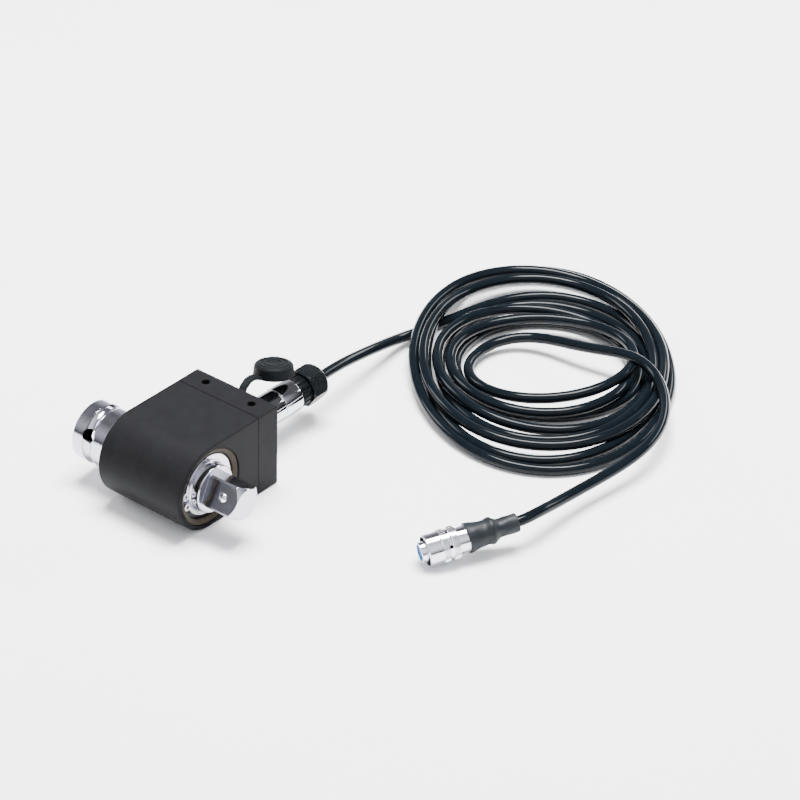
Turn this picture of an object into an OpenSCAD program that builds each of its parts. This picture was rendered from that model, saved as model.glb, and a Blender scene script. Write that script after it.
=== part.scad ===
// Rotary torque sensor: a black housing with a through shaft that has a female square at one end
// and a male square at the other, a connector at the back, and a coiled cable that ends in a plug.
// X runs along the shaft, towards the male square. Y runs to the rear, where the connector is. Z is up.
// The origin is on the base, straight below the middle of the shaft.

/* [Housing] */
// Length of the housing along the shaft
body_l = 42.4; // [41:0.2:50]
// Height of the housing, twice the radius of its nose
body_h = 36; // [35.6:0.4:44]
// How far the centre of the round nose lies in front of the shaft axis
nose_offset = 0.5; // [0:0.1:2]
// From the shaft axis back to the seam
seam_y = 27.6; // [27:0.1:34]
// Bevel along the edges of the housing
edge_bevel = 0.5; // [0.2:0.1:1]

/* [Rear block] */
// Depth of the rear block
block_d = 11.3; // [10.6:0.1:16]
// Width and depth of the shadow gap at the seam
seam_gap = 0.3; // [0.1:0.1:0.6]
// Spacing of the two tapped holes on top
hole_spacing = 24; // [22:0.5:26]
// Core diameter of the tapped holes
hole_d = 3.3; // [2.5:0.1:4.2]
// Depth of the tapped holes
hole_depth = 12; // [6:0.5:14]
// From the rear face forward to the tapped holes
hole_inset = 4.9; // [4.6:0.1:6]
// Diameter of the cap screws that hold the block
screw_d = 3; // [2.5:0.1:3.4]
// Length of thread in the housing
screw_grip = 7; // [5:0.5:9]

/* [Shaft] */
// Male square across its flats
drive_af = 12.7; // [12:0.1:13]
// Length of the male square
drive_l = 15.9; // [13:0.1:20]
// Diameter over the rounded corners of the male square
drive_corner_d = 17; // [15.5:0.1:17.6]
// Angle that the squares stand turned to at rest
drive_turn = 26; // [0:1:89]
// Step from the bearing's bore down to the neck behind the male square
neck_drop = 1; // [0.6:0.1:2]
// How far the neck stands out of the housing
neck_reach = 2.3; // [1.5:0.1:6]
// Step from the bearing's bore up to the female end
female_rise = 1.4; // [0.8:0.1:1.7]
// How far the female end stands out of the housing
female_reach = 20.1; // [18:0.1:26]
// Female square across its flats
socket_af = 12.9; // [12.75:0.05:13.2]
// Depth of the female square
socket_depth = 16.5; // [14:0.1:19]
// From the female end to the middle of the retaining groove
groove_inset = 8.15; // [7:0.05:8.5]
// Width of the retaining groove
groove_w = 4.6; // [3:0.1:5]
// Depth of the retaining groove
groove_depth = 1.4; // [0.8:0.1:1.8]
// Diameter of the cross hole for the retaining pin
pin_hole_d = 5.8; // [3:0.1:6]
// Diameter of the waist that carries the strain gauges
waist_d = 15; // [12:0.1:16]

/* [Detent] */
// Diameter of the detent ball
detent_d = 4.3; // [3.6:0.1:5]
// From the end of the male square back to the detent ball
detent_inset = 7.1; // [6:0.1:9]

/* [Bearings] */
// Outer diameter of the bearings
bearing_od = 32; // [31.4:0.1:32.2]
// Thickness of the bearings from bore to outside
bearing_section = 5; // [4.8:0.1:5.2]
// Width of the bearings
bearing_w = 7; // [6:0.1:8]
// How deep the bearings sit behind the ends of the housing
bearing_recess = 3.2; // [2.9:0.1:4]
// Balls in each bearing
ball_count = 14; // [10:1:14]
// Thickness of the circlip
clip_t = 1.2; // [1:0.1:1.3]

/* [Slip rings] */
// Slip rings on the hub
ring_count = 4; // [2:1:4]
// From one slip ring to the next
ring_pitch = 2.2; // [1.8:0.1:2.4]
// Width of a slip ring
ring_w = 1.2; // [0.8:0.1:1.4]
// Diameter of the slip rings
ring_d = 18.8; // [18:0.1:19.6]
// Thickness of the circuit board
board_t = 1.6; // [1:0.1:2]

/* [Connector] */
// How far the connector axis lies below the shaft axis
socket_drop = 1.5; // [0:0.1:3]
// Diameter of the chrome coupling ring and plug barrel
coupling_d = 14; // [13.6:0.1:15]
// Length of the coupling ring
coupling_l = 16.8; // [16:0.1:20]
// Length of the plug barrel behind the coupling ring
barrel_l = 10.1; // [8:0.1:14]
// Length of the ribbed part of the back shell
ribbed_l = 6; // [4:0.1:10]
// Ribs round the back shell
rib_count = 16; // [12:1:24]
// Gland nut across its flats
nut_af = 14.2; // [13:0.1:16]
// Length of the gland nut
nut_l = 10.4; // [9:0.1:14]
// Contacts round the connector, besides the middle one
contact_count = 6; // [3:1:6]

/* [Dust cap] */
// Diameter of the rubber dust cap
cap_d = 16.8; // [15.6:0.1:18]
// Height of the dust cap
cap_h = 5.2; // [5:0.1:6]
// Angle that the dust cap hangs over to
cap_tilt = 11; // [8:1:16]
// Way the tilted cap leans, turned from straight back
cap_turn = 38; // [30:1:45]
// Width of the strap
strap_w = 3.4; // [2.4:0.1:4.4]
// Thickness of the strap
strap_t = 1.5; // [1:0.1:2]

/* [Cable] */
// Diameter of the cable
cable_d = 4.5; // [4:0.1:4.6]
// Diameter of the release sleeve on the cable plug
release_d = 13.2; // [12.8:0.1:13.8]
// Length of the release sleeve
release_l = 12.8; // [12:0.1:13.4]
// Travel of the release sleeve
release_travel = 2; // [1:0.1:2.6]
// Diameter of the contact tube at the front of the cable plug
nose_tube_d = 8.4; // [8:0.1:9]

/* [Hidden] */
$fn = 96;

// Clearances
press_gap = 0.01;
running_gap = 0.1;
free_gap = 0.3;
// Length that a cutting shape runs past a face
past = 1;

// Housing
half_l = body_l / 2;
axis_z = body_h / 2;
rear_y = seam_y + block_d;
mouth_step = 0.2;
mouth_r = bearing_od / 2 + mouth_step;
mouth_bevel = 0.3;
bearing_x1 = half_l - bearing_recess;
bearing_x0 = bearing_x1 - bearing_w;
bearing_mid = (bearing_x0 + bearing_x1) / 2;
seat_shoulder = 1.4;
cavity_r = bearing_od / 2 - seat_shoulder;
cavity_wall = 0.5;
cavity_half = bearing_x0 - cavity_wall;
cavity_roof = 6;
cavity_h = body_h - 2 * cavity_roof;
hole_sink = 0.35;

// Cap screws in the rear block
screw_edge = 4.2;
screw_rim = 1.25;
screw_head_d = screw_d + 2 * screw_rim;
screw_head_h = screw_d;
screw_head_sink = 0.2;
screw_key_af = 2.5;
screw_places = [for (x = [-1, 1], z = [0, 1])
    [x * (half_l - screw_edge), z * (body_h - 2 * screw_edge) + screw_edge]];

// Shaft
bearing_bore = bearing_od - 2 * bearing_section;
seat_r = bearing_bore / 2;
female_d = bearing_bore + 2 * female_rise;
neck_d = bearing_bore - 2 * neck_drop;
clip_groove_depth = 0.5;
clip_groove_r = seat_r - clip_groove_depth;
clip_play = 0.05;
clip_land = 0.35;
clip_land_drop = 0.2;
neck_step = 0.15;
neck_bevel = 0.35;
female_bevel = 0.5;
female_shoulder = 0.4;
neck_x = half_l + neck_reach;
drive_x = neck_x + drive_l;
female_x = -half_l - female_reach;
groove_x = female_x + groove_inset;
groove_cut_r = (pow(groove_w / 2, 2) + pow(groove_depth, 2)) / (2 * groove_depth);
waist_blend = 1.5;
detent_x = drive_x - detent_inset;

// Detent ball under the lip of its hole
detent_r = detent_d / 2;
detent_lip = 0.4;
detent_hold = 0.2;
detent_mouth_r = detent_r - detent_hold;
detent_play = 0.05;
detent_sink = detent_lip + sqrt(pow(detent_r, 2) - pow(detent_mouth_r, 2)) + detent_play;
detent_hole_depth = 9;
detent_wire_d = 0.5;
detent_turns = 4;
detent_coil_inset = 0.5;
detent_travel = detent_r - detent_sink;

// Bearings
pitch_r = (bearing_bore + bearing_od) / 4;
ball_d = 0.6 * bearing_section;
race_gap = 0.24 * bearing_section;
race_in_r = pitch_r - race_gap;
race_out_r = pitch_r + race_gap;
cage_t = 0.2 * bearing_section;
cage_rim = 0.7;
cage_w = ball_d + 2 * cage_rim;
shield_t = 0.5;
shield_inset = 0.1;
shield_gap = 0.2;

// Circlip, which is thickest across from its lugs
clip_x = bearing_x1 + clip_play;
clip_thick = 2.85;
clip_thin = 1.6;
clip_lug_r = 1.7;
clip_lug_rise = 1.2;
clip_lug_reach = seat_r + clip_lug_rise;
clip_lug_angle = 12;
clip_gap = 1.6;
clip_hole_d = 1.6;
clip_open_angle = 190;

// Seal rings
seal_gap = 0.2;
seal_x0 = bearing_x1 + seal_gap;
seal_lip_back = 1.4;
seal_rim_back = 0.4;
seal_rim_w = 0.4;
seal_lip_x = half_l - seal_lip_back;
seal_rim_x = half_l - seal_rim_back;
front_seal_r = clip_lug_reach + clip_lug_r + seal_gap;
rear_seal_r = female_d / 2 + free_gap;

// Slip rings and brushes
ring_rise = 0.4;
ring_t = 1;
hub_r = ring_d / 2 - ring_rise;
ring_seat_r = ring_d / 2 - ring_t;
hub_rim = 0.5;
hub_x1 = bearing_x0 - waist_blend - free_gap;
hub_x0 = hub_x1 - (ring_count - 1) * ring_pitch - ring_w - 2 * hub_rim;
ring_first_x = hub_x0 + hub_rim + ring_w / 2;
gauge_l = 5;
gauge_w = 5;
gauge_t = 0.15;
gauge_x = (hub_x0 - bearing_x0 + waist_blend) / 2;
brush_side = 0.1;
brush_w = ring_w - 2 * brush_side;
brush_h = 2.4;
brush_depth = 4;
brush_reach = 3.2;
spacer_l = 2.2;
board_y1 = seam_y - spacer_l;
board_y0 = board_y1 - board_t;
board_side = 0.5;
board_end = 1;
board_w = 2 * (cavity_half - board_side);
board_h = cavity_h - 2 * board_end;
brush_block_y0 = ring_d / 2 + brush_reach;
brush_block_h = 10;
board_screw_d = 2;
board_screw_bite = 4;
board_screw_spare = 0.2;
board_screw_head_d = 3.8;
board_screw_head_h = 1.3;
spacer_d = 4;
spacer_places = [[-7.5, -9], [7.5, 9]];

// Connector, measured back from the rear face
socket_z = axis_z - socket_drop;
socket_r = 6;
strap_ring_t = 1.8;
strap_ring_r = 9.2;
flange_r = 8.2;
flange_t = 1.8;
thread_r = 6.1;
socket_inner_r = 4.6;
socket_mouth_r = 5.2;
turned_bevel = 0.3;
rim_bevel = 0.5;
insert_reach = 7;
socket_reach = 13.4;
insert_face_y = rear_y + insert_reach;
socket_end_y = rear_y + socket_reach;
insert_back = 1;
pin_r = 0.5;
pin_short = 1.4;
contact_r = 0.9;
contact_play = 0.05;
contact_tail = 2.5;
contact_ring_r = 2.9;
contact_places = concat([[0, 0]], [for (k = [0:contact_count - 1])
    contact_ring_r * [cos(360 * k / contact_count), sin(360 * k / contact_count)]]);
coupling_start = 5.7;
coupling_wall = 4.3;
coupling_gap = 0.25;
coupling_y0 = rear_y + coupling_start;
coupling_y1 = coupling_y0 + coupling_l;
coupling_wall_y = coupling_y1 - coupling_wall;
barrel_y0 = coupling_y1 + coupling_gap;
barrel_y1 = barrel_y0 + barrel_l;
barrel_floor_y = barrel_y0 + 1.5;
nose_r = 5.35;
nose_wall = 1.05;
nose_bore_r = nose_r - nose_wall;
nose_clear = 0.2;
nose_tip_r = socket_mouth_r - nose_clear;
nose_tip_y = insert_face_y + 1.2;
nose_step_y = socket_end_y + 0.6;
collar_t = 1.5;
collar_r = thread_r - 0.1;
spigot_l = 4.5;
ribbed_y1 = barrel_y1 + ribbed_l;
rib_r = 6.6;
rib_root_r = 6.2;
rib_share = 0.74;
rib_w = rib_share * 2 * PI * rib_root_r / rib_count;
rib_end = 0.4;
gland_thread_r = 5.2;
gland_thread_l = 6.2;
gland_cup_r = 4.4;
gland_floor = 1.2;
gland_step = 0.6;
gland_play = 0.1;
grip_gap = 0.02;
nut_y0 = ribbed_y1 + gland_play;
nut_crown = [[0.7, 2.2], [1.9, 0.8], [3.2, 0]];
nut_crown_h = 4;
nut_bevel = 0.8;
nut_y1 = nut_y0 + nut_l;
nut_corner_r = nut_af / sqrt(3);
nut_turn = 5;
cable_hole_r = cable_d / 2 + running_gap;

// Dust cap, placed from the rear face and the connector axis
cap_wall = 1.5;
cap_top_t = 1.5;
cap_place = [-3.5, 26.3, 17];
cap_ridge_r = [3.2, 5.4];
cap_ridge_w = 0.6;
cap_ridge_h = 0.3;
cap_round = 0.9;
cap_lip = 0.3;
cap_flare = 0.5;
tab_w = 3.2;
tab_t = 2;
tab_sink = 1.6;
strap_route = [
    [-0.3, 0.9, 8], [-0.6, 1.7, 11], [-1.1, 3.5, 13.8], [-1.7, 6.1, 16.1], [-2.4, 9.3, 17.1],
    [-3, 12.5, 16.7], [-3.4, 15.3, 15.5], [-3.6, 18, 13.9]
];

// Cable routes: out of the gland to the coil, and out of the coil to the plug
cable_r = cable_d / 2;
tube_sides = 10;
lead_grip = 9;
lead_out = 2;
lead_route = [
    [0, nut_y1 - lead_grip, socket_z], [0, nut_y1 + lead_out, socket_z],
    [0, 100, 16], [0, 111, 15], [-0.3, 122, 13.6], [-0.8, 133, 12], [-1.5, 143, 10.6],
    [-3, 153, 9.4], [-5.5, 163, 8.5]
];
// Oval coil: middle, the turn of its short axis, and its sizes outside and inside
coil_x = 50.5;
coil_y = 173;
coil_turn = 38.4;
coil_w = 112;
coil_l = 152;
coil_hole_w = 58;
coil_hole_l = 50;
coil_h = 12;
coil_sections = 40;
coil_outline = [
    [0, 0.2], [0, 0.6], [0.2, 1], [0.8, 1], [1, 0.6], [1, 0.2], [0.92, 0], [0.08, 0]
];

// Cable plug: its axis starts at the rear end of the shrink sleeve
plug_x = 119.3;
plug_y = 66.4;
plug_turn = -120.4;
plug_tilt = 8;
shrink_l = 21;
plug_rear = 18.4;
release_front = 38;
release_rear = release_front - release_l;
release_wall = 1.2;
release_r = release_d / 2;
plug_body_r = release_r - release_wall - running_gap;
plug_body_l = 9.8;
plug_entry_r = cable_r + 0.05;
// Shrink sleeve: tight at its waist, lumped over the cable clamp and flared at its front
shrink_rear_r = cable_r + 1.5;
shrink_waist_r = cable_r + 1.55;
shrink_bulge_r = shrink_rear_r + 1.6;
shrink_neck_r = shrink_bulge_r - 0.45;
shrink_lap = 0.8;
shrink_lip = 0.2;
nose_tube_l = 40.3;
nose_tube_bevel = 0.2;
insert_sink = 0.4;
nose_tube_wall = 0.75;
end_insert_r = nose_tube_d / 2 - nose_tube_wall;
end_insert_rear = 22;
end_contact_r = 0.6;
end_contact_hole_r = 0.35;
end_contact_l = 12;
end_contact_bore_l = 6;
end_contact_sink = 0.2;
band_depth = 0.25;
band_l = 2.6;
band_gap = 1.4;
band_slope = 0.2;
end_contact_ring_r = 2.1;
end_contact_count = 7;
release_mouth_r = release_r - band_depth - 0.5;
release_mouth_at = plug_rear + plug_body_l + 1;
// The front rim of the sleeve rests on the table
plug_z = (release_r - band_depth) * cos(plug_tilt) + release_front * sin(plug_tilt);
plug_at = [plug_x, plug_y, plug_z];
plug_way = [cos(plug_tilt) * cos(plug_turn), cos(plug_tilt) * sin(plug_turn), -sin(plug_tilt)];
tail_grip = 6.9;
tail_route = [
    [19, 179, 6], [30, 182, 6], [42, 183, 5.5], [54, 183, 6], [66, 184.5, 7.5], [76, 188, 10],
    [87, 190, 13], [97, 187, 14.3], [107.1, 180.9, 14.4], [116.5, 170.8, 14.2], [123.5, 156.9, 13.7],
    [127.4, 141.6, 13.2], [128.1, 128.3, 12.8], [126.6, 117.4, 12.5], [125.2, 106.8, 12.3],
    [124.2, 96.1, 12.2], [123.2, 85.7, 12.3], [121.8, 77.2, 12.5], [120.6, 71.1, 12.3],
    plug_at, plug_at + plug_way * tail_grip / 2, plug_at + plug_way * tail_grip
];

// Turns a profile of (radius, x) points about the shaft axis
module turned_x(profile) {
    translate([0, 0, axis_z]) rotate([0, 90, 0]) rotate_extrude() polygon(profile);
}

// Turns a profile of (radius, y) points about the connector axis
module turned_y(profile) {
    translate([0, 0, socket_z]) rotate([-90, 0, 0]) rotate_extrude() polygon(profile);
}

// Extrudes a flat shape drawn in (y, z) about the shaft axis, from x0 to x1
module plate_x(x0, x1) {
    translate([x0, 0, axis_z]) rotate([90, 0, 90]) linear_extrude(x1 - x0) children();
}

// Extrudes a flat shape drawn in (x, z) from y0 to y1
module slab_y(y0, y1) {
    translate([0, y1, 0]) rotate([90, 0, 0]) linear_extrude(y1 - y0) children();
}

// Rod along Y from y0 to y1 at (x, z)
module rod_y(place, y0, y1, r) {
    translate([place[0], y0, place[1]]) rotate([-90, 0, 0]) cylinder(h = y1 - y0, r = r);
}

// Stands a shape at the detent, with its own Z pointing out of the flat of the male square
module at_detent() {
    translate([detent_x, 0, axis_z]) rotate([90 - drive_turn, 0, 0])
        translate([0, 0, drive_af / 2]) children();
}

// Turns a profile of (radius, distance) points about the axis of the cable plug
module turned_plug(profile) {
    on_plug() rotate_extrude() polygon(profile);
}

// Lays a shape along the axis of the cable plug, its own Z running forward
module on_plug() {
    translate(plug_at) rotate([0, 90 + plug_tilt, plug_turn]) children();
}

// Ring shape turned about the shaft axis
module collar_x(r_in, r_out, x0, x1) {
    turned_x([[r_in, x0], [r_out, x0], [r_out, x1], [r_in, x1]]);
}

// Ring of round section that cuts a groove round the shaft axis
module torus_x(r, x, section_r) {
    translate([0, 0, axis_z]) rotate([0, 90, 0]) rotate_extrude() translate([r, x]) circle(r = section_r);
}

// Rectangle with bevelled corners, in (x, z), standing on z = 0
module bevelled_face(inset) {
    x = half_l - inset;
    z0 = inset;
    z1 = body_h - inset;
    b = edge_bevel;
    polygon([
        [-x + b, z0], [x - b, z0], [x, z0 + b], [x, z1 - b],
        [x - b, z1], [-x + b, z1], [-x, z1 - b], [-x, z0 + b]
    ]);
}

function unit(v) = v / norm(v);
function along(route, i) = unit(route[min(i + 1, len(route) - 1)] - route[max(i - 1, 0)]);
function outline_at(route, i, side, flat) =
    let (d = along(route, i), s = unit(cross(side, d)), u = cross(d, s))
    [for (p = flat) route[i] + p[0] * s + p[1] * u];
function round_section(r, n) = [for (k = [0:n - 1]) r * [cos(360 * k / n), sin(360 * k / n)]];

// Skins a row of sections that all have the same number of points, closed into a loop or capped
module skin(rings, loop = false) {
    n = len(rings[0]);
    m = len(rings);
    sides = [for (i = [0:m - (loop ? 1 : 2)], k = [0:n - 1])
        let (a = i * n, b = ((i + 1) % m) * n, l = (k + 1) % n) [a + k, b + k, b + l, a + l]];
    caps = loop ? [] : [[for (k = [0:n - 1]) k], [for (k = [0:n - 1]) m * n - 1 - k]];
    polyhedron([for (ring = rings) each ring], concat(sides, caps));
}

// Round tube along a route
module tube(route, r) {
    section = round_section(r, tube_sides);
    skin([for (i = [0:len(route) - 1]) outline_at(route, i, [0, 0, 1], section)]);
}

// Housing: a thick-walled aluminium profile with a round nose, bored for the shaft from end to end
module main_housing() {
    h = half_l;
    r = body_h / 2;
    color("#3a3a3c") difference() {
        union() {
            translate([0, -nose_offset, 0]) turned_x([
                [0, -h], [r - edge_bevel, -h], [r, -h + edge_bevel],
                [r, h - edge_bevel], [r - edge_bevel, h], [0, h]
            ]);
            slab_y(-nose_offset, seam_y) bevelled_face(0);
        }
        bearing_bores();
        translate([-cavity_half, 0, axis_z - cavity_h / 2])
            cube([2 * cavity_half, seam_y + past, cavity_h]);
        for (p = screw_places) rod_y(p, seam_y - screw_grip - past, seam_y + past, screw_d / 2 + press_gap);
    }
}

// Space for the bearings, the seal rings and the shaft between them
module bearing_bores() {
    h = half_l;
    seat = bearing_od / 2 + press_gap;
    wide = mouth_r + mouth_bevel;
    turned_x([
        [0, -h - past], [wide, -h - past], [wide, -h], [mouth_r, -h + mouth_bevel],
        [mouth_r, -bearing_x1], [seat, -bearing_x1], [seat, -bearing_x0], [cavity_r, -bearing_x0],
        [cavity_r, bearing_x0], [seat, bearing_x0], [seat, bearing_x1], [mouth_r, bearing_x1],
        [mouth_r, h - mouth_bevel], [wide, h], [wide, h + past], [0, h + past]
    ]);
}

// Rear block: closes the housing, carries the connector and has two tapped holes on top
module rear_block() {
    color("#3c3c3e") difference() {
        union() {
            slab_y(seam_y + seam_gap, rear_y) bevelled_face(0);
            slab_y(seam_y, seam_y + seam_gap) bevelled_face(seam_gap);
        }
        rod_y([0, socket_z], seam_y - past, rear_y + past, socket_r + press_gap);
        for (x = [-1, 1]) translate([x * hole_spacing / 2, rear_y - hole_inset, body_h]) tapped_hole();
        for (p = screw_places) {
            rod_y(p, seam_y - past, rear_y + past, screw_d / 2 + running_gap);
            rod_y(p, rear_y - screw_head_h - screw_head_sink, rear_y + past,
                screw_head_d / 2 + running_gap);
        }
        for (p = spacer_places)
            rod_y([p[0], axis_z + p[1]], seam_y - past, seam_y + board_screw_bite + board_screw_spare,
                board_screw_d / 2 + press_gap);
    }
}

// Tapped hole that goes down from z = 0, with a countersunk edge
module tapped_hole() {
    drill_tip = hole_d / 4;
    translate([0, 0, -hole_depth]) cylinder(h = hole_depth + past, d = hole_d);
    translate([0, 0, -hole_sink]) cylinder(h = hole_sink, r1 = hole_d / 2, r2 = hole_d / 2 + hole_sink);
    translate([0, 0, -hole_depth - drill_tip]) cylinder(h = drill_tip, r1 = 0, r2 = hole_d / 2);
}

// Four socket head cap screws that draw the rear block onto the housing
module rear_screws() {
    head_y = rear_y - screw_head_h - screw_head_sink;
    color("#1d1d1f") for (p = screw_places) difference() {
        union() {
            rod_y(p, seam_y - screw_grip, head_y, screw_d / 2);
            rod_y(p, head_y, head_y + screw_head_h, screw_head_d / 2);
        }
        translate([p[0], head_y + screw_head_h / 2, p[1]]) rotate([-90, 0, 0])
            cylinder(h = screw_head_h, d = screw_key_af * 2 / sqrt(3), $fn = 6);
    }
}

// Shaft: one turned and milled steel piece from the female square to the male square
module torque_shaft() {
    color("#c9c9ce") difference() {
        union() {
            turned_x(shaft_profile());
            male_square();
        }
        torus_x(female_d / 2 - groove_depth + groove_cut_r, groove_x, groove_cut_r);
        female_square();
        translate([groove_x, 0, axis_z]) rotate([90 - drive_turn, 0, 0])
            cylinder(h = female_d + past, d = pin_hole_d, center = true);
        at_detent() translate([0, 0, -detent_hole_depth])
            cylinder(h = detent_hole_depth - detent_lip, r = detent_r + running_gap);
        at_detent() translate([0, 0, -detent_lip - past])
            cylinder(h = detent_lip + 2 * past, r = detent_mouth_r);
    }
}

// Shaft from the female end to the front of the neck, as (radius, x)
function shaft_profile() =
    let (
        f = female_d / 2, w = waist_d / 2, n = neck_d / 2, land_r = seat_r - clip_land_drop,
        clip_end = clip_x + clip_t + clip_play, land_end = clip_end + clip_land
    )
    [
        [0, female_x], [f - female_bevel, female_x], [f, female_x + female_bevel],
        [f, -bearing_x1 - female_shoulder], [f - female_shoulder, -bearing_x1],
        [seat_r, -bearing_x1], [seat_r, -bearing_x0], [w, -bearing_x0 + waist_blend],
        [w, bearing_x0 - waist_blend], [seat_r, bearing_x0], [seat_r, clip_x], [clip_groove_r, clip_x],
        [clip_groove_r, clip_end], [land_r, clip_end], [land_r, land_end - clip_land_drop],
        [n + neck_step, land_end], [n, land_end + neck_step], [n, neck_x - neck_bevel],
        [n - neck_bevel, neck_x], [0, neck_x]
    ];

// Male square with turned corners and a turned lead-in
module male_square() {
    c = drive_corner_d / 2;
    lead = c - drive_af / 2 + running_gap;
    intersection() {
        plate_x(neck_x - past, drive_x) rotate(-drive_turn) square(drive_af, center = true);
        turned_x([
            [0, neck_x - past], [c, neck_x - past], [c, drive_x - lead], [c - lead, drive_x], [0, drive_x]
        ]);
    }
}

// Space of the female square with its turned lead-in
module female_square() {
    lead_r = 0.66 * socket_af;
    plate_x(female_x - past, female_x + socket_depth) rotate(-drive_turn) square(socket_af, center = true);
    turned_x([[0, female_x - past], [lead_r + past, female_x - past], [0, female_x + lead_r]]);
}

// Spring ball that holds a socket on the male square
module detent_ball() {
    color("#dcdce0") at_detent() translate([0, 0, -detent_sink]) sphere(r = detent_r);
}

// Coil spring behind the detent ball
module detent_spring() {
    steps = 10;
    r = detent_r - detent_coil_inset;
    bottom = -detent_hole_depth + detent_wire_d / 2 + detent_play;
    top = -detent_sink - sqrt(pow(detent_r + detent_wire_d / 2 + detent_play, 2) - r * r);
    n = detent_turns * steps;
    helix = [for (i = [0:n])
        [r * cos(360 * i / steps), r * sin(360 * i / steps), bottom + (top - bottom) * i / n]];
    section = round_section(detent_wire_d / 2, 6);
    color("#9a9aa0") at_detent() skin([for (i = [0:n]) outline_at(helix, i, [0, 0, 1], section)]);
}

// External circlip that keeps the shaft in the front bearing
module front_circlip() {
    outer = clip_groove_r + (clip_thick + clip_thin) / 2;
    shift = (clip_thick - clip_thin) / 2;
    color("#d4d4d8") plate_x(clip_x, clip_x + clip_t) rotate(clip_open_angle) difference() {
        union() {
            translate([-shift, 0]) circle(r = outer);
            at_lugs() circle(r = clip_lug_r);
        }
        circle(r = clip_groove_r + press_gap);
        translate([0, -clip_gap / 2]) square([outer + 2 * clip_lug_r, clip_gap]);
        at_lugs() circle(d = clip_hole_d);
    }
}

// Places a copy of a flat shape at each lug of the circlip
module at_lugs() {
    for (s = [-1, 1]) rotate(s * clip_lug_angle) translate([clip_lug_reach, 0]) children();
}

// Rubber dust seal in the mouth of the bore, dished towards the shaft
module seal_ring(r_in) {
    color("#6a6158") turned_x([
        [r_in, seal_x0], [mouth_r - press_gap, seal_x0], [mouth_r - press_gap, seal_rim_x - seal_rim_w],
        [mouth_r - seal_rim_w, seal_rim_x], [r_in, seal_lip_x]
    ]);
}

module front_seal_ring() { seal_ring(front_seal_r); }
module rear_seal_ring() { mirror([1, 0, 0]) seal_ring(rear_seal_r); }

// Pieces of a deep groove ball bearing, drawn at the front end
module outer_ring() {
    color("#b8b8bc") difference() {
        collar_x(race_out_r, bearing_od / 2, bearing_x0, bearing_x1);
        torus_x(pitch_r, bearing_mid, ball_d / 2 + running_gap);
    }
}

module inner_ring() {
    color("#b8b8bc") difference() {
        collar_x(seat_r + press_gap, race_in_r, bearing_x0, bearing_x1);
        torus_x(pitch_r, bearing_mid, ball_d / 2 + running_gap);
    }
}

// Places a copy of a shape at each ball
module at_balls() {
    for (k = [0:ball_count - 1]) translate([bearing_mid, 0, axis_z])
        rotate([360 * k / ball_count, 0, 0]) translate([0, 0, pitch_r]) children();
}

module balls() {
    color("#e0e0e4") at_balls() sphere(d = ball_d);
}

module cage() {
    color("#c8a860") difference() {
        collar_x(pitch_r - cage_t / 2, pitch_r + cage_t / 2,
            bearing_mid - cage_w / 2, bearing_mid + cage_w / 2);
        at_balls() sphere(d = ball_d + 2 * running_gap);
    }
}

// Cover plate on the outer side of the bearing
module shield() {
    color("#202020")
        collar_x(race_in_r + shield_gap, race_out_r - press_gap,
            bearing_x1 - shield_inset - shield_t, bearing_x1 - shield_inset);
}

module front_outer_ring() { outer_ring(); }
module front_inner_ring() { inner_ring(); }
module front_balls() { balls(); }
module front_cage() { cage(); }
module front_shield() { shield(); }
module rear_outer_ring() { mirror([1, 0, 0]) outer_ring(); }
module rear_inner_ring() { mirror([1, 0, 0]) inner_ring(); }
module rear_balls() { mirror([1, 0, 0]) balls(); }
module rear_cage() { mirror([1, 0, 0]) cage(); }
module rear_shield() { mirror([1, 0, 0]) shield(); }

// Insulating hub moulded on the waist, with a groove for each slip ring
module slip_ring_hub() {
    color("#d8cfa8") difference() {
        collar_x(waist_d / 2 + press_gap, hub_r, hub_x0, hub_x1);
        at_rings() collar_x(ring_seat_r - press_gap, hub_r + past, -ring_w / 2, ring_w / 2);
    }
}

// Places a copy of a shape at each slip ring
module at_rings() {
    for (k = [0:ring_count - 1]) translate([ring_first_x + k * ring_pitch, 0, 0]) children();
}

module slip_rings() {
    color("#e6e2da") at_rings() collar_x(ring_seat_r, ring_d / 2, -ring_w / 2, ring_w / 2);
}

// Four foil gauges bonded round the waist
module strain_gauges() {
    color("#c98a3a") for (k = [0:3]) intersection() {
        collar_x(waist_d / 2 + press_gap, waist_d / 2 + gauge_t,
            gauge_x - gauge_l / 2, gauge_x + gauge_l / 2);
        translate([gauge_x, 0, axis_z]) rotate([90 * k, 0, 0]) translate([-gauge_l, -gauge_w / 2, 0])
            cube([2 * gauge_l, gauge_w, waist_d]);
    }
}

// Insulating block on the circuit board that guides the brushes
module brush_block() {
    color("#2b2b2e") difference() {
        translate([hub_x0, brush_block_y0, axis_z - brush_block_h / 2])
            cube([hub_x1 - hub_x0, board_y0 - brush_block_y0, brush_block_h]);
        at_rings() brush_blank(brush_block_y0 - past);
    }
}

// Square stick of brush from y0 to its seat in the block
module brush_blank(y0) {
    translate([-brush_w / 2, y0, axis_z - brush_h / 2])
        cube([brush_w, brush_block_y0 + brush_depth - y0, brush_h]);
}

// Silver-graphite brushes, ground to the curve of the slip rings
module brushes() {
    color("#7a7a7a") difference() {
        at_rings() brush_blank(ring_d / 2 - past);
        at_rings() collar_x(0, ring_d / 2 + running_gap, -ring_w, ring_w);
    }
}

// Circuit board that joins the brushes to the connector's pins
module circuit_board() {
    color("#2f6b3c") difference() {
        translate([-board_w / 2, board_y0, axis_z - board_h / 2]) cube([board_w, board_t, board_h]);
        at_contacts() rod_y([0, socket_z], board_y0 - past, board_y1 + past, pin_r + press_gap);
        for (p = spacer_places)
            rod_y([p[0], axis_z + p[1]], board_y0 - past, board_y1 + past, board_screw_d / 2 + press_gap);
    }
}

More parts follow.
